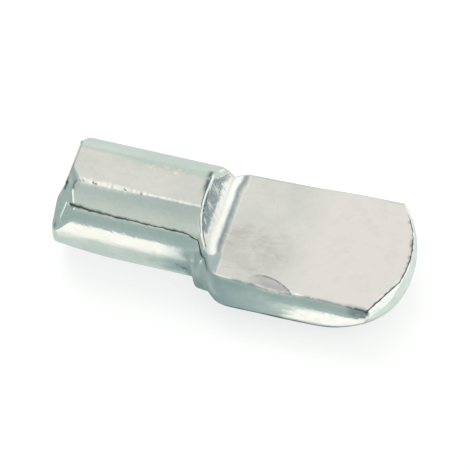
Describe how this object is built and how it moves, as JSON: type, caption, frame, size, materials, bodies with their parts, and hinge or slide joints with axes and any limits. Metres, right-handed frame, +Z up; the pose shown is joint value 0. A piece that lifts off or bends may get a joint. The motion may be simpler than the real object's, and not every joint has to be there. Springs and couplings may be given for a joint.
{
  "type": "shelf support pin",
  "caption": "Plated steel shelf support pin: a short round shank for a drilled hole and a flat-topped paddle that carries the shelf.",
  "frame": {"origin": "on the axis of the shank, below the crest where the shank ends and the neck drops to the paddle", "axes": "-X along the shank to its free end, +X along the paddle, +Z up out of the flat that carries the shelf"},
  "size_m": [0.0158, 0.0068, 0.0048],
  "materials": {
    "plated_steel": "bright plating over the marks of the press"
  },
  "bodies": {
    "root": {"support_pin": "plated_steel"}
  },
  "joints": []
}
